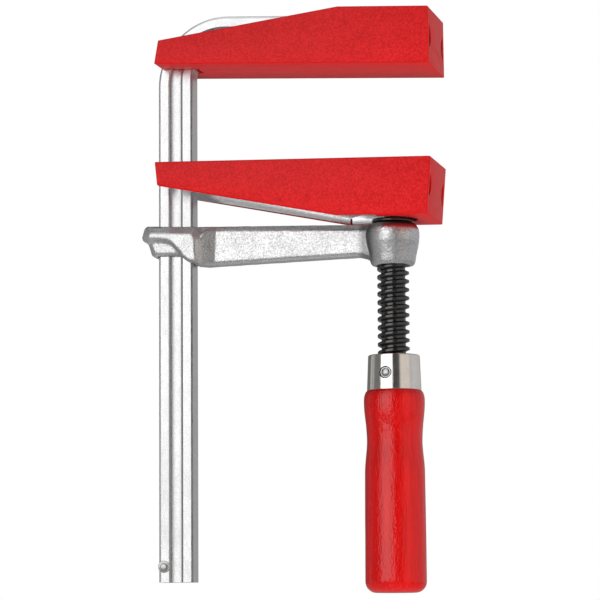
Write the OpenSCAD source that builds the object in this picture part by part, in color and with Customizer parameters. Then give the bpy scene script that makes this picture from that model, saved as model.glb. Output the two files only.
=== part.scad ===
// Light bar clamp: a grooved rail with a bent fixed arm, two plastic-covered jaws,
// a sliding arm and a threaded spindle with a turned wooden handle.
// The origin is on the fixed jaw's clamping face, where the spindle axis meets it.
// +Z runs up the rail, +X from the rail towards the jaw tips, +Y to the back.

/* [Clamp] */
// Distance from the rail's inner edge to the spindle axis
throat = 80; // [60:1:120]
// Gap between the jaws on the spindle axis, as drawn
gap = 37; // [36:0.5:100]
// Slope of the fixed jaw towards the sliding jaw, in degrees
toe_in = 2.6; // [0:0.1:3]
// Slope of the sliding jaw away from the fixed jaw's tip, as it hangs, in degrees
jaw_lean = 1.2; // [0:0.1:1.5]
// Rise of the sliding arm towards the rail, in degrees
arm_rise = 1.5; // [0:0.1:2]

/* [Rail] */
// Width of the rail, across the gap
rail_w = 14; // [10:0.5:20]
// Thickness of the rail
rail_t = 8; // [4:0.5:9]
// Length of the rail below the origin
rail_l = 199.5; // [190:0.5:260]
// Radius of the rail's long edges
rail_edge_r = 1; // [0.5:0.1:2]
// Width of the groove in each flat
groove_w = 5.6; // [3:0.1:7]
// Depth of the groove
groove_d = 0.5; // [0.2:0.1:1]
// Inner radius of the bend into the fixed arm
bend_r = 10; // [6:0.5:16]
// Outer radius of the bend into the fixed arm
bend_outer_r = 27.5; // [26:0.5:36]
// Radius of the stop pin's round head
stop_head_r = 2.4; // [1.8:0.1:3]

/* [Jaws] */
// Width of a jaw
jaw_w = 33.5; // [24:0.5:36]
// Distance from the spindle axis to the tip of the jaws
jaw_tip = 18.2; // [14:0.1:24]
// Distance from the middle of the rail to the outer end of the jaws
jaw_root = 5.4; // [3:0.1:6]
// Height of a jaw at its tip
tip_h = 22.4; // [20:0.1:26]
// Height of a jaw at its root
root_h = 9.4; // [8:0.1:12]
// Length of the level stretch behind the tip
level_l = 37.2; // [25:0.1:45]
// Thickness of the side and end walls
wall = 2.2; // [1.6:0.1:3]
// Thickness of the clamping plate
plate = 3.6; // [2.5:0.1:5]
// Thickness of the steel core's web
web = 3.8; // [2:0.1:4]
// Thickness of the steel core's flanges
flange = 1.6; // [1:0.1:2.5]

/* [Sliding arm] */
// Height of the arm at the rail
arm_h = 16; // [12:0.5:22]
// Thickness of the arm's beam
beam_t = 8.6; // [6:0.1:12]
// Thickness of the head around the rail
head_t = 16.4; // [13:0.1:20]
// Largest radius of the boss round the spindle
boss_r = 10.6; // [9:0.1:13]

/* [Spindle and handle] */
// Outer diameter of the thread
thread_d = 12.5; // [10:0.1:16]
// Root diameter of the thread
core_d = 9.5; // [8:0.1:13]
// Pitch of the thread
pitch = 3.3; // [2:0.1:4]
// Length of bare thread below the boss
bare_l = 35.1; // [20:0.1:40]
// Height of the ferrule
ferrule_h = 13.8; // [10:0.1:20]
// Radius of the ferrule at the top
ferrule_top_r = 10.05; // [9.6:0.05:13]
// Radius of the ferrule at the bottom
ferrule_low_r = 10.6; // [9.8:0.05:14]
// Direction of the pin through the ferrule, in degrees from the front
pin_turn = -8; // [-90:1:90]
// Length of the handle's grip
grip_l = 78; // [60:0.5:110]
// Radius of the grip's shoulder
shoulder_r = 11.85; // [11:0.05:15]
// Radius of the grip's waist
waist_r = 10.8; // [9.5:0.05:13]
// Radius of the grip's lower end
grip_r = 11.9; // [10:0.05:15]

/* [Hidden] */
$fn = 64;

// Running clearance of turned parts, and the gap left between fixed pieces
run = 0.1;
seat = 0.05;
// Overlap that carries a cut past a face
eps = 1;

rail_x = -(throat + rail_w / 2);
rail_out = rail_x - rail_w / 2;
root_x = rail_x - jaw_root;
kink_x = jaw_tip - level_l;
// Lean of the jaw's two end faces
draft = 1.2;
// Side clearance of whatever slides along the rail
guide = 0.4;

// Fixed arm, in the jaw's own frame: face at z = 0 and jaw body above it
arm_low_z = plate + web + seat;
arm_end_x = 8.5;
// Centres of the bend's inner and outer arcs, which touch the rail's edges and the arm's
inner_c = bend_centre(rail_out + rail_w + bend_r, arm_low_z - bend_r);
outer_c = bend_centre(rail_out + bend_outer_r, arm_low_z + rail_w - bend_outer_r);

// Stop pin near the rail's lower end
stop_x = rail_out + 2.05;
stop_z = -rail_l + 5.7;
stop_shank_r = 1;
stop_head_h = 1;

// Levels down the spindle axis
collar_top = -gap - tip_h + 0.1;
collar_h = 1.35;
collar_r = 8.2;
collar_z = collar_top - collar_h;
thread_top = collar_z - 0.15;
boss_top = collar_z - 0.2;
boss_h = 16.8;
boss_z = boss_top - boss_h;
ferrule_top = boss_z - bare_l;
ferrule_z = ferrule_top - ferrule_h;
arm_top = boss_top - 0.75;
arm_low = arm_top - arm_h;

// Ball joint between the spindle and the moving jaw
ball_r = 4.5;
ball_z = -gap - 12;
neck_r = 3.5;
cup_r = 7.5;
cup_rim_r = 6;
web_low = -gap - plate - seat - web;
ring_h = 0.8;
ring_r = ball_r + 1.1;
ring_z = ball_z - 4.2;
cup_low = ring_z - 1;

shank_r = 5;
shank_l = 24.5;
ferrule_wall = 1;
ferrule_lid = 1.6;
pin_r = 2.35;
pin_z = (ferrule_top + ferrule_z) / 2 - 0.5;
floor_hole_r = 10;

// Points of an arc round [x, z], from angle a to angle b
function arc(x, z, r, a, b, n = 8) =
    [for (i = [0:n]) [x + r * cos(a + (b - a) * i / n), z + r * sin(a + (b - a) * i / n)]];

// From the fixed jaw's own frame, X and Z, to the part's
function from_jaw(x, z) =
    [x * cos(toe_in) + z * sin(toe_in), z * cos(toe_in) - x * sin(toe_in)];

// Arc centre at x in the part's frame and at height z in the jaw's own
function bend_centre(x, z) = from_jaw((x - z * sin(toe_in)) / cos(toe_in), z);

// Smooth step from 0 to 1 as t runs from 0 to 1
function ease(t) = (1 - cos(180 * t)) / 2;

// Stands an outline drawn in X and Z upright and gives it a thickness along Y
module slab(t) {
    rotate([90, 0, 0]) linear_extrude(t, center = true) children();
}

// ---- rail and fixed arm ----

// Outline of the bar all the way round the bend, trimmed by inset along both edges
// and carried past both ends by over
function bar_path(inset, over) = concat(
    [[rail_out + inset, -rail_l - over]],
    arc(outer_c[0], outer_c[1], bend_outer_r - inset, 180, 90 - toe_in, 24),
    [from_jaw(arm_end_x + over, arm_low_z + rail_w - inset)],
    [from_jaw(arm_end_x + over, arm_low_z + inset)],
    arc(inner_c[0], inner_c[1], bend_r + inset, 90 - toe_in, 180, 16),
    [[rail_out + rail_w - inset, -rail_l - over]]);

// Bar bent edgeways, with eased long edges and a groove down the middle of both flats
module rail() {
    color("silver") difference() {
        union() {
            slab(rail_t - 1.2 * rail_edge_r) polygon(bar_path(0, 0));
            slab(rail_t) polygon(bar_path(0.6 * rail_edge_r, 0));
        }
        for (side = [-1, 1]) translate([0, side * rail_t / 2, 0])
            slab(2 * groove_d) polygon(bar_path((rail_w - groove_w) / 2, eps));
        translate([stop_x, 0, stop_z]) rotate([90, 0, 0])
            cylinder(r = stop_shank_r + seat, h = rail_t + 2 * eps, center = true);
    }
}

// Rivet with a domed head on both flats
module rail_stop_pin() {
    y = rail_t / 2 + seat;
    color("dimgray") translate([stop_x, 0, stop_z]) {
        rotate([90, 0, 0]) cylinder(r = stop_shank_r, h = 2 * y, center = true);
        for (turn = [90, -90]) rotate([turn, 0, 0]) rotate_extrude()
            polygon(concat([[0, y]], arc(stop_head_r - stop_head_h, y, stop_head_h, 0, 90, 5),
                [[0, y + stop_head_h]]));
    }
}

// ---- jaws, drawn with the clamping face at z = 0 and the body above it ----

// Height of the jaw's open edge at x
function edge_z(x) =
    x > kink_x ? tip_h : root_h + (tip_h - root_h) * (x - root_x) / (kink_x - root_x);

module jaw_outline() {
    polygon([[root_x, 0], [jaw_tip, 0], [jaw_tip - draft, tip_h], [kink_x, tip_h],
        [root_x + draft, root_h]]);
}

// Fork that straddles the rail and leaves room for the bend above it
module fork_cut(top, end_low, end_high) {
    slab(rail_t + 2 * guide)
        polygon([[root_x - eps, -eps], [end_low, -eps], [end_low, 0], [end_high, top],
            [end_high, top + eps], [root_x - eps, top + eps]]);
}

// Slot in the tip wall beside each side wall, a segment of a circle with its chord outside
module tip_slot(side, clear) {
    slot_r = 4.5;
    slot_z = 11;
    chord_y = jaw_w / 2 - wall;
    intersection() {
        translate([0, side * (chord_y + 0.9), slot_z]) rotate([0, 90, 0])
            cylinder(r = slot_r - clear, h = 2 * jaw_tip);
        translate([0, side * (chord_y - clear - slot_r), slot_z])
            cube([4 * jaw_tip, 2 * slot_r, 2 * slot_r], center = true);
    }
}

// U-shaped moulding: clamping plate, two side walls, tip wall and a floor behind the tip
module jaw_cover() {
    floor_x = -4;
    difference() {
        slab(jaw_w) jaw_outline();
        slab(jaw_w - 2 * wall) polygon([[root_x - eps, plate], [jaw_tip - wall, plate],
            [jaw_tip - wall - draft, tip_h - wall], [floor_x, tip_h - wall],
            [floor_x, tip_h + eps], [root_x - eps, tip_h + eps]]);
        fork_cut(plate, rail_out + rail_w + 2.4, rail_out + rail_w + 4.6);
        translate([0, 0, plate + eps]) cylinder(r = floor_hole_r, h = tip_h);
        for (side = [-1, 1]) intersection() {
            tip_slot(side, 0);
            translate([jaw_tip - wall - draft - eps, -jaw_w, 0]) cube([2 * jaw_tip, 2 * jaw_w, tip_h]);
        }
    }
}

// Sheet steel channel under the clamping plate: web, two flanges and two end tabs
module jaw_core() {
    low = plate + seat;
    end = jaw_tip - wall - draft - 0.3;
    half = jaw_w / 2 - wall - run;
    start = root_x + 3;
    drop = 0.3;
    floor_low = tip_h - wall - 0.3;
    difference() {
        union() {
            translate([start, -half, low]) cube([end - start, 2 * half, web]);
            for (side = [-1, 1]) translate([0, side * (half - flange / 2), 0]) slab(flange)
                polygon([[start, low], [end, low], [end, floor_low], [-4.5, floor_low],
                    [-4.5, tip_h - drop], [kink_x + 0.4, tip_h - drop],
                    [kink_x + 0.2, tip_h - drop - 2.2], [kink_x - 0.4, tip_h - drop - 2.2],
                    [kink_x - 0.6, edge_z(kink_x - 0.6) - drop], [start, edge_z(start) - drop]]);
            for (side = [-1, 1]) intersection() {
                tip_slot(side, 0.3);
                translate([0, side * (half - flange / 2), 0]) slab(flange)
                    polygon([[end - eps, 0], [jaw_tip - 0.7, 0], [jaw_tip - 0.7 - draft, tip_h],
                        [end - eps, tip_h]]);
            }
        }
        fork_cut(low + web, rail_out + rail_w + 2.4, rail_out + rail_w + bend_r + 1.4);
        cylinder(r = cup_rim_r + seat, h = tip_h);
        translate([0, 0, low + web]) cylinder(r = cup_r + run, h = tip_h);
    }
}

module fixed_jaw_core() {
    color("gainsboro") rotate([0, toe_in, 0]) jaw_core();
}

module fixed_jaw_cover() {
    color("crimson") rotate([0, toe_in, 0]) jaw_cover();
}

// Leans a piece of the sliding jaw about its ball joint
module lean() {
    translate([0, 0, ball_z]) rotate([0, jaw_lean, 0]) translate([0, 0, -ball_z]) children();
}

module moving_jaw_core() {
    color("gainsboro") lean() translate([0, 0, -gap]) mirror([0, 0, 1]) jaw_core();
}

module moving_jaw_cover() {
    color("crimson") lean() translate([0, 0, -gap]) mirror([0, 0, 1]) jaw_cover();
}

// Turned seat for the ball, with a stub that goes up into the core's web
module ball_cup() {
    bore_r = ball_r + run;
    color("slategray") lean() difference() {
        union() {
            translate([0, 0, web_low - eps]) cylinder(r = cup_rim_r, h = web + eps);
            translate([0, 0, cup_low]) cylinder(r = cup_r, h = web_low - seat - cup_low);
        }
        translate([0, 0, ball_z]) sphere(r = bore_r);
        translate([0, 0, cup_low - eps]) cylinder(r = bore_r, h = ball_z - cup_low + eps);
        translate([0, 0, ring_z - seat]) cylinder(r = ring_r + run, h = ring_h + 2 * seat);
    }
}

// Split ring that snaps into the cup's groove and keeps the ball in
module ball_snap_ring() {
    split = 2;
    color("darkgray") lean() difference() {
        translate([0, 0, ring_z]) cylinder(r = ring_r, h = ring_h);
        translate([0, 0, ring_z - eps]) cylinder(r = neck_r + 0.4, h = ring_h + 2 * eps);
        translate([0, -split / 2, ring_z - eps]) cube([cup_r, split, ring_h + 2 * eps]);
    }
}

// ---- sliding arm ----

// Corners of the head, across and down from the rail's middle and the arm's top edge
HEAD_FACE = [[-9.4, -3.4], [-9.6, -3.6], [-9.9, -4.6], [-9.8, -5.1], [-8.5, -5.3],
    [-5.8, -5.4], [-1.7, -6], [0.6, -7.7], [2.9, -10.2], [4.7, -12.4], [6.4, -13.9],
    [8.9, -14.4], [9.2, -14.1], [8.6, -5.4], [7.5, -3.7]];
HEAD_MIDDLE = [[-11.4, 0], [-12.5, -0.9], [-13.5, -4.5], [-13.1, -5.9], [-10.7, -7.3],
    [-7.6, -6.5], [-3.3, -6.9], [-0.4, -8.2], [1.4, -10.4], [4, -13], [5.8, -14.3],
    [8.6, -15.2], [12.5, -15.6], [12.4, -5.1], [9.2, -0.3]];
PLATE_FACE = [[-8.9, -5], [-8.8, -7.3], [-7.7, -10.7], [-6.9, -11.1], [-6.4, -11.1],
    [3.5, -10.9], [4.5, -5]];
PLATE_MIDDLE = [[-11.2, -5], [-10.9, -7.6], [-9.5, -11.6], [-7.8, -12.7], [-6.5, -12.1],
    [4.5, -11.9], [4.5, -5]];
SHOULDER = [[8.6, -5.4], [11.4, -6], [13.2, -2.2], [16.5, -1.4], [16.5, -15.3], [12.5, -15.6],
    [9, -14.4]];

// Flat layers that bevel an outline: face out at full thickness, middle at the inner one
module bevelled(face, middle, t, inner_t) {
    steps = 3;
    for (i = [0:steps]) let (k = i / steps)
        slab(t + (inner_t - t) * k) polygon(face * (1 - k) + middle * k);
}

// Thick cheeks with a lip outside the rail, and the thinner plates below them
module head() {
    translate([rail_x, 0, arm_top]) {
        bevelled(HEAD_FACE, HEAD_MIDDLE, head_t, head_t - 5.4);
        bevelled(PLATE_FACE, PLATE_MIDDLE, head_t - 4.4, head_t - 7.4);
        intersection() {
            slab(head_t) polygon(SHOULDER);
            translate([0, 0, -2 * arm_h]) linear_extrude(2 * arm_h) polygon([[8.6, -head_t / 2],
                [16.5, -beam_t / 2], [16.5, beam_t / 2], [8.6, head_t / 2]]);
        }
    }
}

// Beam from the head to the boss, a little shallower at the boss; the insets trim its edges
module beam_outline(top, low) {
    start = rail_x + 8.6;
    end = -boss_r + 3;
    polygon([[start, arm_top - top], [end, arm_top - top], [end, arm_low + 1.8 + low],
        [-boss_r - 0.2, arm_low + 3 + low], [-boss_r - 2.6, arm_low + 3.5 + low],
        [rail_x + 14.5, arm_low + 0.3 + low], [start, arm_low + 0.5 + low]]);
}

// Round boss: short shoulder at the top, widest a quarter down, tapering to the bottom
module boss_outline() {
    polygon([[0, boss_top], [boss_r - 2.8, boss_top], [boss_r - 1, boss_top - 1.3],
        [boss_r, boss_top - 4.2], [boss_r - 0.2, boss_top - 6], [boss_r - 1, boss_top - 9],
        [boss_r - 1.9, boss_z + 1.2], [boss_r - 2.8, boss_z], [0, boss_z]]);
}

// Way through the head for the rail, wider at the top inside so that the arm can tilt and grip
module rail_way() {
    over = 4;
    slab(rail_t + 2 * guide) polygon([[rail_out - 0.3, arm_top + over],
        [rail_out + rail_w + 1.8, arm_top + over], [rail_out + rail_w + 0.3, arm_low],
        [rail_out + rail_w + 0.3, arm_low - over], [rail_out - 0.3, arm_low - over]]);
}

module sliding_arm() {
    color("lightgray") difference() {
        union() {
            translate([0, 0, arm_top]) rotate([0, arm_rise, 0]) translate([0, 0, -arm_top]) {
                head();
                slab(beam_t - 2.6) beam_outline(0, 0);
                slab(beam_t) beam_outline(2.2, 1);
            }
            rotate_extrude() boss_outline();
        }
        rail_way();
        translate([0, 0, boss_z - eps]) cylinder(r = thread_d / 2 + run, h = boss_h + 2 * eps);
    }
}

// ---- spindle and handle ----

// Collar on the spindle's neck that carries the moving jaw and meets the boss
module thrust_collar() {
    color("black") difference() {
        translate([0, 0, collar_z]) cylinder(r = collar_r, h = collar_h);
        translate([0, 0, collar_z - eps]) cylinder(r = neck_r + run, h = collar_h + 2 * eps);
    }
}

// Half section of one thread ridge, with its crest cl below the ridge's upper end
function ridge(z) = [[core_d / 2, z - 0.45], [thread_d / 2, z - 1.2], [thread_d / 2, z - 2.3],
    [core_d / 2, z - 3.05]];

// Turned in one piece: ball, neck, thread drawn as rings of the true pitch, and shank
module spindle() {
    turns = floor((thread_top - ferrule_top) / pitch);
    shank_end = ferrule_top - shank_l - ferrule_h;
    color("#303030") difference() {
        union() {
            translate([0, 0, ball_z]) sphere(r = ball_r);
            rotate_extrude() polygon(concat(
                [[0, ball_z], [neck_r, ball_z], [neck_r, thread_top], [core_d / 2, thread_top]],
                [for (i = [0:turns - 1]) each ridge(thread_top - i * pitch)],
                [[core_d / 2, ferrule_top + 0.2], [shank_r, ferrule_top + 0.2],
                    [shank_r, shank_end], [0, shank_end]]));
        }
        pin_hole();
    }
}

// Everything that the pin goes through has this hole
module pin_hole() {
    translate([0, 0, pin_z]) rotate([90, 0, pin_turn])
        cylinder(r = pin_r + seat, h = 3 * ferrule_low_r, center = true);
}

module ferrule() {
    inner = ferrule_top_r - ferrule_wall;
    color("lightsteelblue") difference() {
        rotate_extrude() polygon([[shank_r + run, ferrule_top], [ferrule_top_r - 0.6, ferrule_top],
            [ferrule_top_r, ferrule_top - 0.6], [ferrule_low_r, ferrule_z], [inner, ferrule_z],
            [inner, ferrule_top - ferrule_lid], [shank_r + run, ferrule_top - ferrule_lid]]);
        pin_hole();
    }
}

// Pin through ferrule, handle neck and shank, with its ends flush with the ferrule
module ferrule_pin() {
    color("gray") translate([0, 0, pin_z]) rotate([90, 0, pin_turn])
        cylinder(r = pin_r, h = 2 * ferrule_top_r + 0.7, center = true);
}

// Radius of the grip at depth d below the ferrule
function grip_radius(d) =
    let (shoulder_d = 3.2, waist_d = 20.2, swell_d = 30, swell_r = 11.65)
    d < shoulder_d ? ferrule_low_r + (shoulder_r - ferrule_low_r) * sin(90 * d / shoulder_d) :
    d < waist_d ? shoulder_r - (shoulder_r - waist_r) * ease((d - shoulder_d) / (waist_d - shoulder_d)) :
    d < swell_d ? waist_r + (swell_r - waist_r) * ease((d - waist_d) / (swell_d - waist_d)) :
    swell_r + (grip_r - swell_r) * (d - swell_d) / (grip_l - swell_d);

module handle() {
    top = ferrule_z - seat;
    corner = 4.3;
    neck = ferrule_top_r - ferrule_wall - seat;
    straight_l = grip_l - corner;
    color("red") difference() {
        rotate_extrude() polygon(concat(
            [[0, ferrule_top - ferrule_lid - seat], [neck, ferrule_top - ferrule_lid - seat], [neck, top]],
            [for (d = [0:0.8:3.2]) [grip_radius(d), top - d]],
            [for (d = [5:2.2:30]) [grip_radius(d), top - d]],
            arc(grip_r - corner, top - straight_l, corner, 0, -84, 7),
            [[0, top - grip_l - 0.25]]));
        translate([0, 0, ferrule_top - shank_l - ferrule_h - 1])
            cylinder(r = shank_r + run, h = shank_l + ferrule_h + 2);
        pin_hole();
    }
}

rail();
rail_stop_pin();
fixed_jaw_core();
fixed_jaw_cover();
sliding_arm();
thrust_collar();
moving_jaw_core();
moving_jaw_cover();
ball_cup();
ball_snap_ring();
spindle();
ferrule();
ferrule_pin();
handle();
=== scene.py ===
"""Looks for the bar clamp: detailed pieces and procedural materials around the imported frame.

Shapes are worked out in millimetres in the CAD frame (+Z up the rail, origin on the fixed
jaw's face) and scaled to metres when a mesh is made.
"""

import math

import bmesh
import bpy
from mathutils import Matrix, Vector, noise


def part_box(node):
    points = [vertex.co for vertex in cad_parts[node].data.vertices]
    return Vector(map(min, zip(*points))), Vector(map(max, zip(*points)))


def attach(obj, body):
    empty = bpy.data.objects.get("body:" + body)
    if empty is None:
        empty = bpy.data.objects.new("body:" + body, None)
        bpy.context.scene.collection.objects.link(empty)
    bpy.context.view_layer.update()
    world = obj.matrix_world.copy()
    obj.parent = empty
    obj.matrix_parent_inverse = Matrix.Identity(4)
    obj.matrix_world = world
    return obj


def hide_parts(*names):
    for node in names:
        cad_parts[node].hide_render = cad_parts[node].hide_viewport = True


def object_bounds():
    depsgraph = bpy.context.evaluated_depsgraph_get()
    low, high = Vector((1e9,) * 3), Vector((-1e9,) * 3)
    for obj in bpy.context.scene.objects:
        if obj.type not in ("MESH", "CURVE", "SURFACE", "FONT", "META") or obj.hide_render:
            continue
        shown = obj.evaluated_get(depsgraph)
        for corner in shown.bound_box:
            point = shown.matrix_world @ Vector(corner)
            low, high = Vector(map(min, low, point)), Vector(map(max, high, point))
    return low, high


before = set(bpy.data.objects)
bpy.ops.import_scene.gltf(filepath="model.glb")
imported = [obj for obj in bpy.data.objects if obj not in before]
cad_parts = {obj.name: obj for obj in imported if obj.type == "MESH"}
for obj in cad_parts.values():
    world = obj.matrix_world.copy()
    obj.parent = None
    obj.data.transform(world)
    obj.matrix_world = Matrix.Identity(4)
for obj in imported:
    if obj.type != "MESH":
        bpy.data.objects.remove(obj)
cad_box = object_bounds()

MM = 0.001


def corners(node):
    """Lowest and highest corner of a CAD node, in millimetres."""
    low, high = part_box(node)
    return low / MM, high / MM


# ---- sizes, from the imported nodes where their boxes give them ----

RAIL_LOW, RAIL_HIGH = corners("rail")
COLLAR_LOW, COLLAR_HIGH = corners("thrust_collar")
SCREW_LOW, SCREW_HIGH = corners("spindle")
FERRULE_LOW, FERRULE_HIGH = corners("ferrule")
GRIP_LOW = corners("handle")[0]
STUD_LOW, STUD_HIGH = corners("rail_stop_pin")

RAIL_W = 14.0
RAIL_T = RAIL_HIGH.y - RAIL_LOW.y
RAIL_X = RAIL_LOW.x + RAIL_W / 2
BEND_INNER_R = 10.0
BEND_OUTER_R = 27.5
TOE_IN = math.radians(2.6)
FIXED_ARM_END = 8.5
ARM_LEVEL = 7.45
BOSS_TOP = COLLAR_LOW.z - 0.2
BOSS_H = 16.8
ARM_TOP = BOSS_TOP - 0.75
ARM_RISE = math.radians(1.5)
ARM_H = 16.0
BEAM_T = 8.6
HEAD_T = 16.4
BOSS_R = 10.6
THREAD_R = 6.25
CORE_R = 4.75
PITCH = 3.3
BALL_R = 4.5
NECK_R = 3.5
SHANK_R = 5.0
SHANK_BORE_R = 5.1
PIN_R = 2.35
PIN_TURN = math.radians(-8)
GRIP_TOP = FERRULE_LOW.z - 0.05
SPIGOT_R = 9.0


# ---- camera ----

LENS_MM = 180.0
CAMERA_AZ = math.radians(13.2)
CAMERA_EL = math.radians(-6.6)
CAMERA_ROLL = math.radians(-0.36)
CAMERA_TARGET = Vector((-37.44, 0, -89.82)) * MM
CAMERA_DISTANCE = 1.1799


def make_camera():
    """A long lens from below and to the right, aimed along CAMERA_AZ and CAMERA_EL."""
    back = Vector((
        math.sin(CAMERA_AZ) * math.cos(CAMERA_EL),
        -math.cos(CAMERA_AZ) * math.cos(CAMERA_EL),
        math.sin(CAMERA_EL),
    ))
    right = Vector((math.cos(CAMERA_AZ), math.sin(CAMERA_AZ), 0))
    up = back.cross(right)
    c, s = math.cos(CAMERA_ROLL), math.sin(CAMERA_ROLL)
    right, up = right * c + up * s, up * c - right * s
    data = bpy.data.cameras.new("camera")
    data.lens = LENS_MM
    data.sensor_width = 36
    data.clip_start, data.clip_end = 0.05, 50
    cam = bpy.data.objects.new("camera", data)
    bpy.context.scene.collection.objects.link(cam)
    turn = Matrix((right, up, back)).transposed().to_4x4()
    cam.matrix_world = Matrix.Translation(CAMERA_TARGET + back * CAMERA_DISTANCE) @ turn
    bpy.context.scene.camera = cam


make_camera()


# ---- node helpers ----

class Graph:
    """Short way to write a node tree: every call adds a node and returns its first output."""

    def __init__(self, tree):
        self.tree = tree

    def add(self, kind, out=0, attrs=None, **inputs):
        n = self.tree.nodes.new(kind)
        for key, value in (attrs or {}).items():
            setattr(n, key, value)
        for key, value in inputs.items():
            if key[0] == "i" and key[1:].isdigit():
                socket = n.inputs[int(key[1:])]
            else:
                socket = n.inputs[key.replace("_", " ")]
            if isinstance(value, bpy.types.NodeSocket):
                self.tree.links.new(value, socket)
            else:
                socket.default_value = value
        return n.outputs[out]

    def math(self, op, a, b=0.0, clamp=False):
        return self.add("ShaderNodeMath", attrs={"operation": op, "use_clamp": clamp}, i0=a, i1=b)

    def scaled(self, vector, xyz):
        return self.add("ShaderNodeVectorMath", attrs={"operation": "MULTIPLY"}, i0=vector, i1=xyz)

    def noise(self, vector, scale, detail=3.0, rough=0.55, distortion=0.0):
        return self.add("ShaderNodeTexNoise", Vector=vector, Scale=scale, Detail=detail,
                        Roughness=rough, Distortion=distortion)

    def ramp(self, value, stops, mode="LINEAR"):
        out = self.add("ShaderNodeValToRGB", Fac=value)
        ramp = out.node.color_ramp
        ramp.interpolation = mode
        for i, (at, colour) in enumerate(stops):
            if not isinstance(colour, tuple):
                colour = (colour,) * 3
            e = ramp.elements[i] if i < 2 else ramp.elements.new(at)
            e.position = at
            e.color = (*colour, 1)
        return out

    def span(self, value, low, high, to_low, to_high):
        return self.add("ShaderNodeMapRange", Value=value, From_Min=low, From_Max=high,
                        To_Min=to_low, To_Max=to_high)

    def mix(self, fac, a, b):
        return self.add("ShaderNodeMix", out=2, attrs={"data_type": "RGBA"}, i0=fac, i6=a, i7=b)

    def bump(self, height, strength, distance, normal=None):
        extra = {"Normal": normal} if normal else {}
        return self.add("ShaderNodeBump", Height=height, Strength=strength,
                        Distance=distance * MM, **extra)


def rgb(r, g, b):
    return (r, g, b, 1.0)


def material(name, **constants):
    """A new material, its graph, its shader, and object coordinates in millimetres."""
    m = bpy.data.materials.new(name)
    m.use_nodes = True
    g = Graph(m.node_tree)
    shader = m.node_tree.nodes["Principled BSDF"]
    for key, value in constants.items():
        shader.inputs[key.replace("_", " ")].default_value = value
    coord = g.add("ShaderNodeTexCoord", out=3)
    return m, g, shader, g.scaled(coord, (1000, 1000, 1000))


def wire(g, shader, **sockets):
    """Links node outputs to the shader's sockets, named with underscores for spaces."""
    for key, value in sockets.items():
        g.tree.links.new(value, shader.inputs[key.replace("_", " ")])


# ---- materials ----

def plated_steel():
    """Satin zinc plate: a fine lengthwise grain over a faint granular bloom."""
    m, g, sh, mm = material("plated_steel", Metallic=1.0)
    uv = g.add("ShaderNodeTexCoord", out=2)
    along = g.scaled(uv, (1.0, 0.045, 1.0))
    grain = g.noise(along, 5.5, 3, 0.6)
    bloom = g.noise(mm, 2.3, 4, 0.65)
    patch = g.noise(mm, 0.09, 2, 0.5)
    tone = g.mix(g.span(bloom, 0.35, 0.68, 0, 1), rgb(0.53, 0.53, 0.535), rgb(0.72, 0.72, 0.725))
    rough = g.math("ADD", g.span(grain, 0.3, 0.7, 0.25, 0.37), g.span(patch, 0.3, 0.7, -0.03, 0.03))
    fine = g.bump(bloom, 0.35, 0.030)
    wire(g, sh, Base_Color=tone, Roughness=rough, Normal=g.bump(grain, 0.4, 0.022, fine))
    return m


def sheet_steel():
    """Bright plated sheet with faint drawing lines along the channel."""
    m, g, sh, mm = material("sheet_steel", Metallic=1.0)
    lines = g.noise(g.scaled(mm, (0.08, 1.0, 1.0)), 4.0, 3, 0.6)
    spots = g.noise(mm, 0.6, 3, 0.6)
    tone = g.mix(g.span(spots, 0.35, 0.7, 0, 1), rgb(0.80, 0.80, 0.81), rgb(0.90, 0.90, 0.91))
    wire(g, sh, Base_Color=tone, Roughness=g.span(lines, 0.3, 0.7, 0.12, 0.22),
         Normal=g.bump(lines, 0.2, 0.012))
    return m


def forged_steel():
    """Plated forging: a shot-blasted skin, with painted shade in the boss's fillet and round its
    top rim.
    """
    m, g, sh, mm = material("forged_steel", Metallic=1.0)
    coarse = g.noise(mm, 1.35, 2, 0.6, 0.3)
    fine = g.noise(mm, 2.2, 2, 0.6)
    slow = g.noise(mm, 0.16, 2, 0.5)
    skin = g.mix(g.span(fine, 0.34, 0.66, 0, 1), rgb(0.49, 0.49, 0.495), rgb(0.86, 0.86, 0.87))
    x, _, z = g.add("ShaderNodeSeparateXYZ", Vector=mm).node.outputs
    # Painted shade masks: where the beam runs into the boss, and the boss's upper edge
    fillet = g.math("MULTIPLY", g.span(x, -13.5, -11.0, 0, 1), g.span(x, -8.0, -5.5, 1, 0))
    rim = g.math("MULTIPLY", g.span(z, BOSS_TOP - 3.2, BOSS_TOP - 1.2, 0, 1),
                 g.span(x, -10.0, -8.0, 0, 1))
    painted_shade = g.math("MULTIPLY", g.math("ADD", fillet, rim, True), 0.72)
    # Painted shade: the masked places are darkened towards a near-black grey
    tone = g.mix(painted_shade, skin, rgb(0.17, 0.17, 0.17))
    rough = g.math("ADD", g.span(coarse, 0.3, 0.7, 0.29, 0.41), g.span(slow, 0.3, 0.7, -0.04, 0.04))
    blasted = g.bump(coarse, 0.8, 0.16)
    wire(g, sh, Base_Color=tone, Roughness=rough, Normal=g.bump(fine, 0.6, 0.05, blasted))
    return m


def black_steel():
    """Oiled black oxide with fine turning marks round the spindle."""
    m, g, sh, mm = material("black_steel", Metallic=0.0, IOR=1.8)
    turned = g.noise(g.scaled(mm, (0.25, 0.25, 3.0)), 3.0, 2, 0.5)
    film = g.noise(mm, 0.5, 3, 0.6)
    tone = g.mix(g.span(film, 0.35, 0.7, 0, 1), rgb(0.003, 0.003, 0.003), rgb(0.010, 0.010, 0.010))
    wire(g, sh, Base_Color=tone, Roughness=g.span(film, 0.3, 0.7, 0.12, 0.24),
         Normal=g.bump(turned, 0.25, 0.02))
    return m


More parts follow.
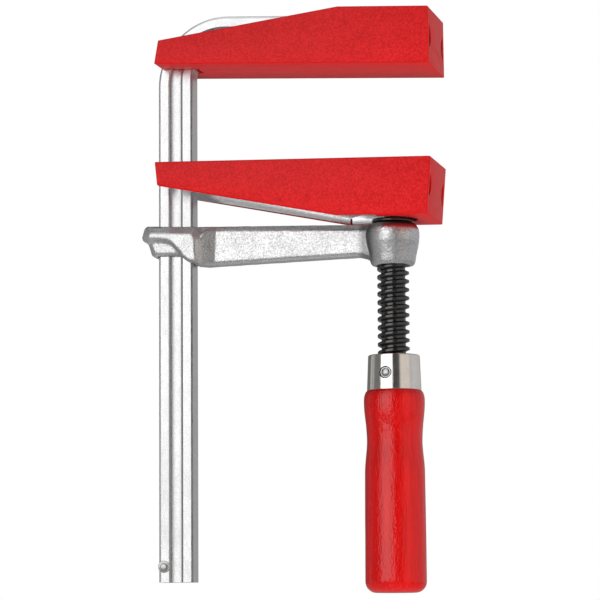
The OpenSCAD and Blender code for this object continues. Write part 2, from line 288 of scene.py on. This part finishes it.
def nickel():
    """Polished nickel plate over a drawn cap: faint vertical draw lines, slightly warm."""
    m, g, sh, mm = material("nickel", Metallic=1.0)
    drawn = g.noise(g.scaled(mm, (1.0, 1.0, 0.06)), 3.2, 3, 0.6)
    haze = g.noise(mm, 0.35, 3, 0.6)
    tone = g.mix(g.span(haze, 0.35, 0.7, 0, 1), rgb(0.82, 0.77, 0.72), rgb(0.91, 0.87, 0.83))
    grit = g.noise(mm, 2.4, 3, 0.6)
    wire(g, sh, Base_Color=tone, Roughness=g.span(haze, 0.3, 0.7, 0.08, 0.17),
         Normal=g.bump(grit, 0.3, 0.02, g.bump(drawn, 0.12, 0.02)))
    return m


def pin_steel():
    """Cut wire, dressed by hand: dull ring marks and small nicks."""
    m, g, sh, mm = material("pin_steel", Metallic=1.0)
    nicks = g.noise(mm, 1.6, 4, 0.7)
    tone = g.ramp(nicks, [(0.3, 0.30), (0.7, 0.62)])
    wire(g, sh, Base_Color=tone, Roughness=g.span(nicks, 0.3, 0.7, 0.20, 0.36),
         Normal=g.bump(nicks, 0.35, 0.06))
    return m


def red_plastic():
    """Glass-filled nylon: a fine eroded mould texture, faintly mottled, with a painted edge
    highlight in saturated deep red on the rounded edges.
    """
    m, g, sh, mm = material("red_plastic", IOR=1.5, Specular_IOR_Level=0.2)
    spark = g.noise(mm, 1.7, 2, 0.7)
    flow = g.noise(g.scaled(mm, (0.5, 1.0, 1.0)), 0.22, 3, 0.6, 0.6)
    both = g.math("ADD", g.math("MULTIPLY", spark, 0.85), g.math("MULTIPLY", flow, 0.15))
    skin = g.mix(g.span(both, 0.38, 0.62, 0, 1), rgb(0.40, 0.002, 0.003), rgb(0.58, 0.012, 0.014))
    # Painted edge highlight: the rounded faces marked in "edge" are coloured a saturated deep red
    edge = g.add("ShaderNodeAttribute", out=2, attrs={"attribute_name": "edge"})
    tone = g.mix(edge, skin, rgb(0.50, 0.0002, 0.001))
    wire(g, sh, Base_Color=tone, Roughness=g.span(spark, 0.3, 0.7, 0.40, 0.54),
         Normal=g.bump(spark, 0.4, 0.045))
    return m


def red_lacquer():
    """Thick glossy lacquer over turned wood: the grain and lathe marks print through."""
    m, g, sh, mm = material("red_lacquer", IOR=1.5, Specular_IOR_Level=0.0, Coat_Weight=0.75,
                            Coat_Roughness=0.05, Coat_IOR=1.6)
    grain = g.noise(g.scaled(mm, (1.0, 1.0, 0.05)), 0.9, 4, 0.6, 0.3)
    waves = g.noise(g.scaled(mm, (0.6, 0.6, 1.0)), 0.28, 3, 0.55)
    dots = g.noise(g.scaled(mm, (1.0, 1.0, 0.4)), 1.1, 2, 0.65)
    tone = g.mix(g.span(grain, 0.36, 0.66, 0, 1), rgb(0.38, 0.0001, 0.0001),
                 rgb(0.51, 0.0003, 0.0003))
    height = g.math("ADD", g.math("MULTIPLY", grain, 0.6), waves)
    soft = g.bump(height, 0.5, 0.12)
    sanded = g.bump(dots, 0.9, 0.24, soft)
    wire(g, sh, Base_Color=tone, Roughness=g.span(dots, 0.3, 0.7, 0.26, 0.38), Normal=sanded,
         Coat_Normal=sanded)
    return m


MATERIALS = {
    f.__name__: f()
    for f in (plated_steel, sheet_steel, forged_steel, black_steel, nickel, pin_steel,
              red_plastic, red_lacquer)
}


# ---- mesh helpers ----

def add_piece(name, bm, body, slot, replaces=(), sharp=35.0):
    """Finishes a bmesh drawn in millimetres as a piece that rides on a body."""
    bmesh.ops.scale(bm, vec=(MM, MM, MM), verts=bm.verts)
    bmesh.ops.recalc_face_normals(bm, faces=bm.faces)
    mesh = bpy.data.meshes.new(name)
    bm.to_mesh(mesh)
    bm.free()
    mesh.shade_smooth()
    mesh.set_sharp_from_angle(angle=math.radians(sharp))
    mesh.materials.append(MATERIALS[slot])
    obj = bpy.data.objects.new(name, mesh)
    bpy.context.scene.collection.objects.link(obj)
    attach(obj, body)
    if replaces:
        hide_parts(*replaces)


def arc(x, z, r, a, b, n=8):
    """Points of an arc round (x, z), from angle a to b in degrees."""
    return [(x + r * math.cos(math.radians(a + (b - a) * i / n)),
             z + r * math.sin(math.radians(a + (b - a) * i / n))) for i in range(n + 1)]


def rounded(points, radii, closed=True, steps=4):
    """The same outline with its corners rounded, each by its own radius."""
    out = []
    n = len(points)
    for i, (p, r) in enumerate(zip(points, radii)):
        if r <= 0 or (not closed and i in (0, n - 1)):
            out.append(tuple(p))
            continue
        p = Vector(p)
        a, b = Vector(points[i - 1]) - p, Vector(points[(i + 1) % n]) - p
        la, lb = a.length, b.length
        a.normalize()
        b.normalize()
        half = a.angle(b) / 2
        if half > math.radians(88):
            out.append(tuple(p))
            continue
        cut = min(r / math.tan(half), 0.48 * la, 0.48 * lb)
        start, end = p + a * cut, p + b * cut
        for k in range(steps + 1):
            t = k / steps
            q = start * (1 - t) ** 2 + p * (2 * t * (1 - t)) + end * t ** 2
            out.append(tuple(q))
    return out


def revolve(bm, profile, segments=96, matrix=None):
    """Turns an open (r, z) profile that starts and ends on the axis round Z."""
    rings = []
    for r, z in profile:
        if r < 1e-6:
            rings.append([bm.verts.new((0, 0, z))])
        else:
            rings.append([bm.verts.new((r * math.cos(t), r * math.sin(t), z))
                          for t in (2 * math.pi * k / segments for k in range(segments))])
    made = [v for ring in rings for v in ring]
    for lower, upper in zip(rings, rings[1:]):
        for k in range(segments):
            j = (k + 1) % segments
            quad = [lower[k % len(lower)], lower[j % len(lower)],
                    upper[j % len(upper)], upper[k % len(upper)]]
            corner = list(dict.fromkeys(quad))
            if len(corner) > 2:
                bm.faces.new(corner)
    if matrix is not None:
        bmesh.ops.transform(bm, matrix=matrix, verts=made)


def loft(bm, loops, wrap=False):
    """Joins equal closed loops of points into a solid, capped unless it wraps."""
    rows = [[bm.verts.new(p) for p in loop] for loop in loops]
    n = len(rows[0])
    pairs = list(zip(rows, rows[1:])) + ([(rows[-1], rows[0])] if wrap else [])
    for a, b in pairs:
        for k in range(n):
            j = (k + 1) % n
            bm.faces.new((a[k], a[j], b[j], b[k]))
    if not wrap:
        bm.faces.new(rows[0][::-1])
        bm.faces.new(rows[-1])
    return rows


def revolve_ring(bm, outline, segments):
    """Turns a closed (r, z) outline that stays off the axis round Z."""
    loft(bm, [[(r * math.cos(t), r * math.sin(t), z) for r, z in outline]
              for t in (2 * math.pi * k / segments for k in range(segments))], wrap=True)


def temp_object(bm, name="temp"):
    """An object to put modifiers on; the bmesh is used up."""
    bmesh.ops.recalc_face_normals(bm, faces=bm.faces)
    mesh = bpy.data.meshes.new(name)
    bm.to_mesh(mesh)
    bm.free()
    obj = bpy.data.objects.new(name, mesh)
    bpy.context.scene.collection.objects.link(obj)
    return obj


def applied(obj):
    """The object's mesh with its modifiers, as a bmesh; the object is removed."""
    dg = bpy.context.evaluated_depsgraph_get()
    bm = bmesh.new()
    bm.from_mesh(obj.evaluated_get(dg).to_mesh())
    mesh = obj.data
    bpy.data.objects.remove(obj)
    bpy.data.meshes.remove(mesh)
    return bm


def boolean(bm, other, operation):
    """bm less the other bmesh (DIFFERENCE), or what the two share (INTERSECT)."""
    target, tool = temp_object(bm), temp_object(other, "tool")
    mod = target.modifiers.new("cut", "BOOLEAN")
    mod.operation, mod.object, mod.solver = operation, tool, "EXACT"
    out = applied(target)
    mesh = tool.data
    bpy.data.objects.remove(tool)
    bpy.data.meshes.remove(mesh)
    return out


def prism(bm, outline, low, high):
    """An outline drawn in X and Z, given a thickness from low to high in Y."""
    loft(bm, [[(x, y, z) for x, z in outline] for y in (low, high)])


# ---- rail ----

RUN_STEPS, BEND_STEPS, END_STEPS = 34, 28, 12


def from_jaw(x, z):
    """From the fixed jaw's own frame, X and Z, to the part's."""
    c, s = math.cos(TOE_IN), math.sin(TOE_IN)
    return x * c + z * s, z * c - x * s


def bend_centre(x, z):
    """Arc centre at x in the part's frame and at height z in the jaw's own."""
    return from_jaw((x - z * math.sin(TOE_IN)) / math.cos(TOE_IN), z)


def rail_section():
    """Section of the bar: chamfered edges, and a shallow hollow down the middle of each flat."""
    w, t = RAIL_W / 2, RAIL_T / 2
    lip, wall, sag = 2.3, 0.4, 0.34
    side = [(w, t - 1.6), (w, t - 0.45), (w - 0.12, t - 0.26), (w - 0.9, t), (lip + 0.6, t),
            (lip, t - wall)]
    side = rounded(side, [0, 0.3, 0.2, 0.3, 0.3, 0.3], closed=False, steps=3)
    side += [(lip * k, t - wall - sag * (1 - k * k)) for k in (0.8, 0.6, 0.4, 0.2, 0.0)]
    half = side + [(-u, y) for u, y in side[-2::-1]]
    return half + [(-x, -y) for x, y in half]


def rail_path():
    """Stations along the bar: outer edge, inner edge and distance run."""
    inner_x, inner_z = bend_centre(RAIL_X + RAIL_W / 2 + BEND_INNER_R, ARM_LEVEL - BEND_INNER_R)
    outer_x, outer_z = bend_centre(RAIL_LOW.x + BEND_OUTER_R, ARM_LEVEL + RAIL_W - BEND_OUTER_R)
    outer, inner = [], []
    for i in range(RUN_STEPS):
        t = i / RUN_STEPS
        outer.append((RAIL_LOW.x, RAIL_LOW.z + (outer_z - RAIL_LOW.z) * t))
        inner.append((RAIL_LOW.x + RAIL_W, RAIL_LOW.z + (inner_z - RAIL_LOW.z) * t))
    turn = math.degrees(TOE_IN)
    outer += arc(outer_x, outer_z, BEND_OUTER_R, 180, 90 - turn, BEND_STEPS)
    inner += arc(inner_x, inner_z, BEND_INNER_R, 180, 90 - turn, BEND_STEPS)
    ends = (from_jaw(FIXED_ARM_END, ARM_LEVEL + RAIL_W), from_jaw(FIXED_ARM_END, ARM_LEVEL))
    for edge, end in zip((outer, inner), ends):
        start = edge[-1]
        edge += [tuple(a + (b - a) * i / END_STEPS for a, b in zip(start, end))
                 for i in range(1, END_STEPS + 1)]
    run = [0.0]
    for (a, b), (c, d) in zip(zip(outer, inner), zip(outer[1:], inner[1:])):
        run.append(run[-1] + (math.dist(a, c) + math.dist(b, d)) / 2)
    return list(zip(outer, inner, run))


def make_bar():
    """The section carried along the path, with eased ends and its grain laid lengthwise."""
    section = rail_section()
    bm = bmesh.new()
    uv = bm.loops.layers.uv.new("UVMap")
    stations = rail_path()
    # Easing of the ends, as (distance from the end, how far the section shrinks)
    ease = [(0.0, 0.55), (0.08, 0.3), (0.22, 0.12), (0.45, 0.0)]

    def loop_at(station, shrink, shift):
        outer, inner, _ = station
        mid_x, mid_z = (outer[0] + inner[0]) / 2, (outer[1] + inner[1]) / 2
        nx, nz = (outer[0] - inner[0]) / RAIL_W, (outer[1] - inner[1]) / RAIL_W
        out = []
        for u, y in section:
            k = 1 - shrink / max(abs(u), abs(y), 1)
            uu, yy = -u * k, y * k
            out.append((mid_x + nx * uu + shift * nz, yy, mid_z + nz * uu - shift * nx))
        return out

    loops, run = [], []
    for lift, shrink in ease:
        loops.append(loop_at(stations[0], shrink, -lift))
        run.append(lift)
    for st in stations[1:-1]:
        loops.append(loop_at(st, 0.0, 0.0))
        run.append(st[2])
    for lift, shrink in reversed(ease):
        loops.append(loop_at(stations[-1], shrink, -lift))
        run.append(stations[-1][2] - lift)
    rows = loft(bm, loops)
    index = {v: (i, k) for i, row in enumerate(rows) for k, v in enumerate(row)}
    girth = [0.0]
    for a, b in zip(section, section[1:]):
        girth.append(girth[-1] + math.dist(a, b))
    for f in bm.faces:
        for lp in f.loops:
            i, k = index[lp.vert]
            lp[uv].uv = (girth[k], run[i])
    add_piece("bar", bm, "frame", "plated_steel", ["rail"], 40)


def make_bar_stop():
    """A rivet head on each flat, with a burr round a low dome."""
    stud = bmesh.new()
    stud_x, stud_z = (STUD_LOW.x + STUD_HIGH.x) / 2, (STUD_LOW.z + STUD_HIGH.z) / 2
    flat = RAIL_T / 2
    reach = STUD_HIGH.y - flat
    r = (STUD_HIGH.x - STUD_LOW.x) / 2
    profile = [(0, 0), (r - 0.1, 0), (r, -0.12), (r, 0.25)]
    profile += [(r - 0.12, 0.36), (r - 0.42, 0.40), (r - 0.5, 0.32)]
    profile += arc(r - 1.65, reach - 0.62, 0.62, 0, 20, 2)
    profile += [(r * 0.42, reach - 0.06), (r * 0.2, reach), (0, reach)]
    for side in (-1, 1):
        turn = Matrix.Rotation(math.radians(90 * side), 4, "X")
        place = Matrix.Translation((stud_x, -side * flat, stud_z)) @ turn
        revolve(stud, profile, 40, place)
    add_piece("bar_stop", stud, "frame", "pin_steel", ["rail_stop_pin"], 30)


make_bar()
make_bar_stop()


# ---- jaws ----

def eased_copy(node, name, body, slot, width, segments=3):
    """A copy of a CAD node with its flat faces merged and its sharp edges rounded.

    The rounded faces are marked in the mesh's "edge" attribute, which the red plastic uses for its
    painted edge highlight.
    """
    bm = bmesh.new()
    bm.from_mesh(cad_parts[node].data)
    bmesh.ops.scale(bm, vec=(1 / MM,) * 3, verts=bm.verts)
    bmesh.ops.remove_doubles(bm, verts=bm.verts, dist=0.002)
    bmesh.ops.dissolve_limit(bm, angle_limit=math.radians(0.6), verts=bm.verts, edges=bm.edges)
    edge = bm.faces.layers.float.new("edge")
    sharp = [e for e in bm.edges if len(e.link_faces) == 2
             and e.calc_face_angle(0) > math.radians(30)]
    eased = bmesh.ops.bevel(bm, geom=sharp, offset=width, offset_type="OFFSET", affect="EDGES",
                            segments=segments, profile=0.5, clamp_overlap=True)
    for f in eased["faces"]:
        f[edge] = 1.0
    add_piece(name, bm, body, slot, [node], 25)


for jaw, body in (("fixed", "frame"), ("moving", "jaw")):
    eased_copy(f"{jaw}_jaw_cover", f"{jaw}_cover", body, "red_plastic", 0.6)
    eased_copy(f"{jaw}_jaw_core", f"{jaw}_channel", body, "sheet_steel", 0.15, 2)


# ---- sliding arm ----

# Outlines as (x from the rail's centre line, z from the arm's top); the bevels of the head and
# of the plate behind the rail's way run from the flat face's outline to the middle one
HEAD_FACE = [(-9.4, -3.4), (-9.6, -3.6), (-9.9, -4.6), (-9.8, -5.1), (-8.5, -5.3),
             (-5.8, -5.4), (-1.7, -6), (0.6, -7.7), (2.9, -10.2), (4.7, -12.4), (6.4, -13.9),
             (8.9, -14.4), (9.2, -14.1), (8.6, -5.4), (7.5, -3.7)]
HEAD_MIDDLE = [(-11.4, 0), (-12.5, -0.9), (-13.5, -4.5), (-13.1, -5.9), (-10.7, -7.3),
               (-7.6, -6.5), (-3.3, -6.9), (-0.4, -8.2), (1.4, -10.4), (4, -13), (5.8, -14.3),
               (8.6, -15.2), (12.5, -15.6), (12.4, -5.1), (9.2, -0.3)]
PLATE_FACE = [(-8.9, -5), (-8.8, -7.3), (-7.7, -10.7), (-6.9, -11.1), (-6.4, -11.1),
              (3.5, -10.9), (4.5, -5)]
PLATE_MIDDLE = [(-11.2, -5), (-10.9, -7.6), (-9.5, -11.6), (-7.8, -12.7), (-6.5, -12.1),
                (4.5, -11.9), (4.5, -5)]
HEAD_BEVEL = 2.7
PLATE_IN = 2.2
PLATE_BEVEL = 1.5
# Shoulder between the head and the beam, as (x, half thickness, top, bottom) from there too
SHOULDER = [(8.6, HEAD_T / 2, -5.4, -14.4), (10.7, 6.9, -6.2, -15.0), (11.5, 6.4, -2.9, -15.4),
            (13.6, 5.4, -1.6, -15.5), (16.5, BEAM_T / 2 - 0.02, -1.4, -15.3)]
# Boss outline, as (radius, depth below its top), and the rounding of each corner
BOSS_MARKS = [(0, 0), (7.9, 0), (9.2, 0.7), (10.25, 2.4), (10.55, 4.8), (10.3, 7.6), (9.75, 10.0),
              (9.2, 12.6), (8.75, 15.6), (8.1, BOSS_H), (0, BOSS_H)]
BOSS_ROUNDING = [0, 0.4, 1.5, 2.5, 2.5, 2.5, 2.5, 2.5, 0.6, 0.4, 0]
SKIN_VOXEL = 0.36
SKIN_SMOOTH = 5


def make_arm():
    """The solid parts are fused into one skin, smoothed and roughened, then cut for the way."""
    bm = bmesh.new()

    def bevelled(face, middle, half, inner):
        loops = []
        for outline, y in ((face, -half), (middle, -inner), (middle, inner), (face, half)):
            loops.append([(RAIL_X + u, y, ARM_TOP + v) for u, v in outline])
        loft(bm, loops)

    head, plate = HEAD_T / 2, HEAD_T / 2 - PLATE_IN
    bevelled(HEAD_FACE, HEAD_MIDDLE, head, head - HEAD_BEVEL)
    bevelled(PLATE_FACE, PLATE_MIDDLE, plate, plate - PLATE_BEVEL)
    loft(bm, [[(RAIL_X + u, y, ARM_TOP + v) for y, v in ((-h, hi), (h, hi), (h, lo), (-h, lo))]
              for u, h, hi, lo in SHOULDER])

    # Beam: bevelled edges, and a lower edge that rises towards the boss
    low = ARM_TOP - ARM_H
    stations = [(RAIL_X + 8.6, low + 0.5), (RAIL_X + 14.5, low + 0.3), (RAIL_X + 40, low + 1.7),
                (-BOSS_R - 2.6, low + 3.5), (-BOSS_R - 0.2, low + 3.0), (-BOSS_R + 3, low + 1.8)]
    half, trim, top_cut, low_cut = BEAM_T / 2, 1.3, 2.3, 1.0
    loops = []
    for x, z in stations:
        right = [(half - trim, z), (half, z + low_cut), (half, ARM_TOP - top_cut),
                 (half - trim, ARM_TOP)]
        loops.append([(x, y, zz) for y, zz in right + [(-y, zz) for y, zz in right[::-1]]])
    loft(bm, loops)
    root = Vector((0, 0, ARM_TOP))
    rise = Matrix.Translation(root) @ Matrix.Rotation(ARM_RISE, 4, "Y") @ Matrix.Translation(-root)
    bmesh.ops.transform(bm, matrix=rise, verts=bm.verts)

    # Boss
    boss = [(r, BOSS_TOP - d) for r, d in BOSS_MARKS]
    revolve(bm, rounded(boss, BOSS_ROUNDING, closed=False), 72)

    obj = temp_object(bm, "arm")
    skin = obj.modifiers.new("skin", "REMESH")
    skin.mode, skin.voxel_size = "VOXEL", SKIN_VOXEL
    bm = applied(obj)
    for _ in range(SKIN_SMOOTH):
        bmesh.ops.smooth_vert(bm, verts=bm.verts, factor=0.5, use_axis_x=True,
                              use_axis_y=True, use_axis_z=True)
    for v in bm.verts:
        p = v.co
        swell = noise.noise(p * 0.22) * 0.10 + noise.noise(p * 0.9 + Vector((7, 3, 1))) * 0.035
        v.co = p + v.normal * swell

    # Way for the rail, wider at the top inside, and the threaded bore
    cut = bmesh.new()
    clear = RAIL_T / 2 + 0.4
    out, inside = RAIL_LOW.x - 0.3, RAIL_LOW.x + RAIL_W
    bore, bottom = THREAD_R + 0.35, BOSS_TOP - BOSS_H
    prism(cut, [(out, ARM_TOP + 5), (inside + 1.8, ARM_TOP + 5), (inside + 0.3, low),
                (inside + 0.3, low - 3), (out, low - 3)], -clear, clear)
    revolve(cut, [(0, bottom - 2), (bore, bottom - 2), (bore, BOSS_TOP + 2), (0, BOSS_TOP + 2)], 72)
    bm = boolean(bm, cut, "DIFFERENCE")
    add_piece("forged_arm", bm, "arm", "forged_steel", ["sliding_arm"], 50)


make_arm()


# ---- collar, spindle, ferrule and handle ----

def make_collar():
    """A turned black disc with eased edges."""
    bm = bmesh.new()
    low, high = COLLAR_LOW.z, COLLAR_HIGH.z
    r = COLLAR_HIGH.x
    ring = rounded([(3.7, low), (r, low), (r, high), (3.7, high)], [0.2, 0.35, 0.35, 0.2])
    revolve_ring(bm, ring, 96)
    add_piece("collar", bm, "collar", "black_steel", ["thrust_collar"], 40)


def make_spindle():
    """Right-hand rolled thread between the collar and the ferrule, then ball, neck and shank."""
    top = COLLAR_LOW.z - 0.15
    low = FERRULE_HIGH.z + 0.03
    # One pitch of the thread, as (distance down it, radius)
    crest, root = THREAD_R, CORE_R
    shape = rounded([(0, root), (0.55, root), (1.12, crest), (2.2, crest), (2.78, root),
                     (PITCH, root)], [0, 0.35, 0.38, 0.38, 0.35, 0], closed=False, steps=3)
    segments = 72
    turns = math.ceil((top - low) / PITCH) + 3
    start = top + 1.5 * PITCH
    bm = bmesh.new()
    grid = []
    for i in range(segments * turns + 1):
        a = -2 * math.pi * i / segments
        z = start - PITCH * i / segments
        grid.append([bm.verts.new((r * math.cos(a), r * math.sin(a), z - d))
                     for d, r in shape[:-1]])
    n = len(shape) - 1
    for i in range(segments * (turns - 1)):
        row, step, under = grid[i], grid[i + 1], grid[i + segments]
        after = grid[i + segments + 1]
        for j in range(n):
            if j < n - 1:
                bm.faces.new((row[j], row[j + 1], step[j + 1], step[j]))
            else:
                bm.faces.new((row[j], under[0], after[0], step[j]))
    bmesh.ops.delete(bm, geom=[v for v in bm.verts if not v.link_faces], context="VERTS")
    bmesh.ops.holes_fill(bm, edges=[e for e in bm.edges if e.is_boundary], sides=0)
    # The long thread is kept only inside a barrel that fades it out at both ends
    limit = bmesh.new()
    revolve(limit, [(0, low), (CORE_R + 0.3, low), (8, low + 1.1), (8, top - 0.2),
                    (CORE_R + 0.3, top), (0, top)], 72)
    bm = boolean(bm, limit, "INTERSECT")

    ball_z = SCREW_HIGH.z - BALL_R
    dome = arc(0, ball_z, BALL_R, 90, -38, 16)
    inner = CORE_R - 0.1
    shank = [(NECK_R, ball_z - 4.2), (NECK_R, top - 0.02), (inner, top - 0.02), (inner, low),
             (SHANK_R, low - 0.03), (SHANK_R, SCREW_LOW.z + 0.5), (SHANK_R - 0.5, SCREW_LOW.z),
             (0, SCREW_LOW.z)]
    revolve(bm, [(0, SCREW_HIGH.z)] + dome[1:] + shank, 72)
    add_piece("screw_rod", bm, "screw", "black_steel", ["spindle"], 38)


def pin_place(z):
    """From a piece drawn up Z to one across the ferrule at height z."""
    turn = Matrix.Rotation(PIN_TURN, 4, "Z") @ Matrix.Rotation(math.radians(90), 4, "X")
    return Matrix.Translation((0, 0, z)) @ turn


def make_ferrule():
    """A drawn cap with an inturned top, and the pin through it."""
    top, low = FERRULE_HIGH.z, FERRULE_LOW.z
    top_r, low_r, wall = 10.05, 10.6, 1.0
    bm = bmesh.new()
    profile = rounded([(SHANK_BORE_R, top), (top_r, top), (low_r, low), (top_r - wall, low),
                       (top_r - wall, top - 1.6), (SHANK_BORE_R, top - 1.6)],
                      [0.15, 0.7, 0.12, 0.1, 0.3, 0.1], steps=6)
    revolve_ring(bm, profile, 128)
    pin_z = (top + low) / 2 - 0.5
    hole = bmesh.new()
    hole_r, reach = PIN_R + 0.12, 14
    revolve(hole, [(0, -reach), (hole_r, -reach), (hole_r, reach), (0, reach)], 56,
            pin_place(pin_z))
    bm = boolean(bm, hole, "DIFFERENCE")
    add_piece("cap_ring", bm, "screw", "nickel", ["ferrule"], 30)

    pin = bmesh.new()
    end = top_r + 0.32
    half = [(PIN_R, end - 1.0), (PIN_R - 0.06, end - 0.72), (PIN_R - 0.32, end - 0.42),
            (PIN_R - 0.62, end - 0.40), (PIN_R - 0.8, end - 0.26), (1.0, end - 0.06), (0.5, end),
            (0, end)]
    revolve(pin, [(r, -z) for r, z in half[::-1]] + half, 48, pin_place(pin_z))
    for v in pin.verts:
        v.co.z += noise.noise(v.co * 0.8) * 0.06
    add_piece("cross_pin", pin, "screw", "pin_steel", ["ferrule_pin"], 30)


def grip_profile():
    """The grip as (radius, depth below the ferrule): a smooth curve through its marks."""
    length = GRIP_TOP - GRIP_LOW.z
    # As (depth, radius)
    marks = [(0, 10.62), (0.7, 11.2), (1.8, 11.62), (3.4, 11.85), (6, 11.82), (9, 11.6),
             (13, 11.16), (17, 10.88), (20.5, 10.8), (24, 11.04), (27.5, 11.4), (31, 11.64),
             (38, 11.72), (50, 11.78), (62, 11.84), (70, 11.88), (73.6, 11.9)]
    points = []
    for i in range(len(marks) - 1):
        p0 = marks[max(i - 1, 0)]
        p1, p2 = marks[i], marks[i + 1]
        p3 = marks[min(i + 2, len(marks) - 1)]
        for k in range(4):
            t = k / 4
            r = 0.5 * (2 * p1[1] + (p2[1] - p0[1]) * t
                       + (2 * p0[1] - 5 * p1[1] + 4 * p2[1] - p3[1]) * t * t
                       + (3 * p1[1] - p0[1] - 3 * p2[1] + p3[1]) * t ** 3)
            points.append((r, p1[0] + (p2[0] - p1[0]) * t))
    corner = 4.4
    points += arc(marks[-1][1] - corner, length - corner, corner, 0, 82, 9)
    points.append((0, length))
    return points


def make_handle():
    """Bore, spigot inside the ferrule and grip, with the slow waves left by hand sanding."""
    lid = FERRULE_HIGH.z - 1.65
    bore_end = SCREW_LOW.z - 1
    bm = bmesh.new()
    profile = [(0, bore_end), (SHANK_BORE_R, bore_end), (SHANK_BORE_R, lid), (SPIGOT_R, lid),
               (SPIGOT_R, GRIP_TOP)]
    revolve(bm, profile + [(r, GRIP_TOP - d) for r, d in grip_profile()], 112)
    for v in bm.verts:
        r = math.hypot(v.co.x, v.co.y)
        if r > SPIGOT_R + 0.5 and v.co.z < GRIP_TOP - 1:
            wave = noise.noise(Vector((v.co.x * 0.12, v.co.y * 0.12, v.co.z * 0.09)))
            v.co.x *= 1 + wave * 0.05 / r
            v.co.y *= 1 + wave * 0.05 / r
    add_piece("grip", bm, "screw", "red_lacquer", ["handle"], 50)


make_collar()
make_spindle()
make_ferrule()
make_handle()

# Pieces hidden in the jaw keep the CAD's own shape and only get a look
for node in ("ball_cup", "ball_snap_ring"):
    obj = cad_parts[node]
    obj.data.materials.clear()
    obj.data.materials.append(MATERIALS["pin_steel"])


# ---- stage and light ----

def make_stage():
    """A pale floor, well below the clamp."""
    mesh = bpy.data.meshes.new("floor")
    size, drop = 12.0, -1.6
    mesh.from_pydata([(-size, -size, drop), (size, -size, drop), (size, size, drop),
                      (-size, size, drop)], [], [(0, 1, 2, 3)])
    floor = bpy.data.objects.new("floor", mesh)
    bpy.context.scene.collection.objects.link(floor)
    m = bpy.data.materials.new("floor")
    m.use_nodes = True
    sockets = m.node_tree.nodes["Principled BSDF"].inputs
    sockets["Base Color"].default_value = rgb(0.86, 0.86, 0.86)
    sockets["Roughness"].default_value = 0.9
    mesh.materials.append(m)


def make_world():
    """A white studio as the steel mirrors it, and plain white behind the object."""
    world = bpy.data.worlds.new("studio")
    bpy.context.scene.world = world
    world.use_nodes = True
    tree = world.node_tree
    g = Graph(tree)
    ray = g.add("ShaderNodeTexCoord", out=0)
    x, y, z = g.add("ShaderNodeSeparateXYZ", Vector=ray).node.outputs
    # Direction round the object: 0 ahead of the clamp, positive to the jaw tips' side
    round_it = g.math("ARCTAN2", x, g.math("MULTIPLY", y, -1.0))
    place = g.span(round_it, -math.pi, math.pi, 0.0, 1.0)

    def at(degrees):
        return (degrees + 180) / 360

    # A broad white box ahead and to the left, a warm grey one to the right, dark gaps between
    band = g.ramp(place, [
        (at(-180), 0.095), (at(-116), 0.08), (at(-108), 0.24), (at(-92), 0.26), (at(-82), 0.10),
        (at(-51), 0.08), (at(-44), 1.0), (at(0), 1.0), (at(7), 0.03), (at(32), 0.05),
        (at(41), (0.36, 0.336, 0.312)), (at(80), (0.36, 0.336, 0.315)), (at(86), 0.26),
        (at(102), (0.29, 0.29, 0.30)), (at(166), 0.26), (at(180), 0.095)])
    # From the floor's side to straight up
    height = g.ramp(g.span(z, -1, 1, 0, 1), [
        (0.0, 0.25), (0.10, 0.70), (0.30, 1.0), (0.62, 1.0), (0.76, 0.72), (1.0, 0.46)])
    colour = g.mix(1.0, band, height)
    colour.node.blend_type = "MULTIPLY"
    lit = g.add("ShaderNodeBackground", Color=colour, Strength=1.9)
    seen = g.add("ShaderNodeBackground", Color=rgb(1, 1, 1), Strength=1.0)
    camera_ray = g.add("ShaderNodeLightPath", out=0)
    both = g.add("ShaderNodeMixShader", i0=camera_ray, i1=lit, i2=seen)
    tree.links.new(both, tree.nodes["World Output"].inputs["Surface"])


def make_lights():
    """Soft boxes that light what is painted or moulded, and don't mirror in the steel."""
    # As (name, place from the centre, size, watts)
    boxes = [("key", (-0.55, -1.25, 0.45), 0.9, 0.5), ("fill", (1.2, -0.35, -0.25), 0.9, 9.0),
             ("under", (0.0, -0.9, -0.95), 0.9, 16.5), ("back", (0.2, 1.4, 0.5), 1.0, 7.0)]
    centre = (cad_box[0] + cad_box[1]) / 2
    for name, place, size, watts in boxes:
        data = bpy.data.lights.new(name, "AREA")
        data.shape, data.size, data.energy = "DISK", size, watts
        light = bpy.data.objects.new(name, data)
        bpy.context.scene.collection.objects.link(light)
        light.location = centre + Vector(place)
        light.rotation_mode = "QUATERNION"
        light.rotation_quaternion = Vector(place).to_track_quat("Z", "Y")
        light.visible_glossy = False


make_stage()
make_world()
make_lights()
bpy.context.scene.view_settings.view_transform = "Standard"
